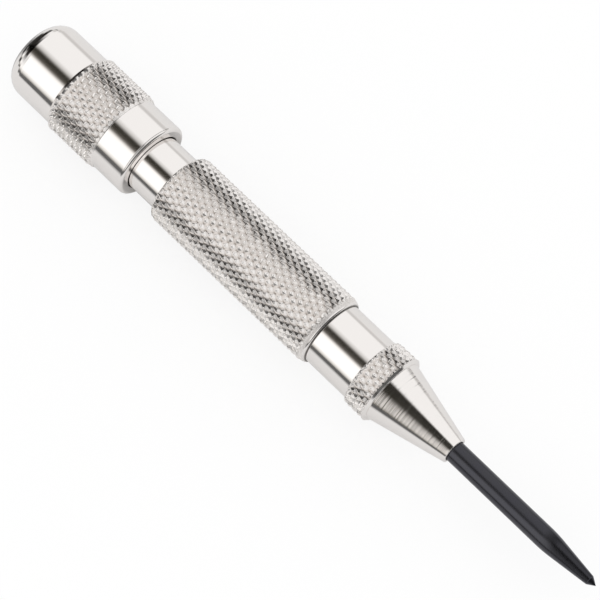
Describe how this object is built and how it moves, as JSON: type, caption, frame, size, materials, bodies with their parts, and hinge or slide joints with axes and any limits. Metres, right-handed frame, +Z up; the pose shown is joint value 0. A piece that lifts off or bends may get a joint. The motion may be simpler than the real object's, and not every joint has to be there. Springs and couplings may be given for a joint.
{
  "type": "automatic center punch",
  "caption": "Spring-loaded automatic center punch with a knurled grip, a screw-on adjusting cap, a conical nose and a sliding steel point that marks metal when pushed.",
  "frame": {"origin": "on the surface that the tool lies on, below the middle of its length", "axes": "+X along the tool towards the tip of the point, +Z up, the tool's axis level"},
  "size_m": [0.13, 0.0154, 0.0153],
  "materials": {
    "nickel_plate": "bright nickel plate on turned and knurled metal",
    "black_oxide_steel": "black oxide on ground tool steel",
    "hardened_steel": "hardened and ground steel",
    "spring_steel": "drawn spring wire"
  },
  "bodies": {
    "barrel": {"barrel": "nickel_plate", "guide_bush": "hardened_steel", "nose": "nickel_plate", "main_spring": "spring_steel", "return_spring": "spring_steel"},
    "point": {"punch_point": "black_oxide_steel"},
    "trip_pin": {"trip_pin": "hardened_steel"},
    "hammer": {"hammer": "hardened_steel"},
    "spring_seat": {"spring_seat": "hardened_steel"},
    "cap": {"adjusting_cap": "nickel_plate"}
  },
  "joints": [
    {"name": "point_slide", "type": "slide", "parent": "barrel", "child": "point", "axis": [-1, 0, 0], "range_m": [0, 0.009], "stiffness_N_per_m": 400, "springref_m": -0.0005, "deforming": ["return_spring"]},
    {"name": "pin_tilt", "type": "hinge", "parent": "point", "child": "trip_pin", "pos_m": [0.02285, 0, 0.00766], "axis": [0, 1, 0], "range_deg": [0, 1.34]},
    {"name": "hammer_slide", "type": "slide", "parent": "barrel", "child": "hammer", "axis": [-1, 0, 0], "range_m": [0, 0.009], "stiffness_N_per_m": 3000, "springref_m": -0.0003, "deforming": ["main_spring"]},
    {"name": "cap_turn", "type": "hinge", "parent": "spring_seat", "child": "cap", "pos_m": [-0.0613, 0, 0.00766], "axis": [1, 0, 0], "range_deg": [-1080.1, 1800.1]},
    {"name": "cap_advance", "type": "slide", "parent": "barrel", "child": "spring_seat", "axis": [1, 0, 0], "range_m": [-0.003, 0.005], "deforming": ["main_spring"]}
  ],
  "couplings": [
    {"joint": "pin_tilt", "follows": "point_slide", "rad_per_m": 2.592},
    {"joint": "hammer_slide", "follows": "point_slide", "ratio": 1},
    {"joint": "cap_turn", "follows": "cap_advance", "rad_per_m": 6283.2}
  ]
}
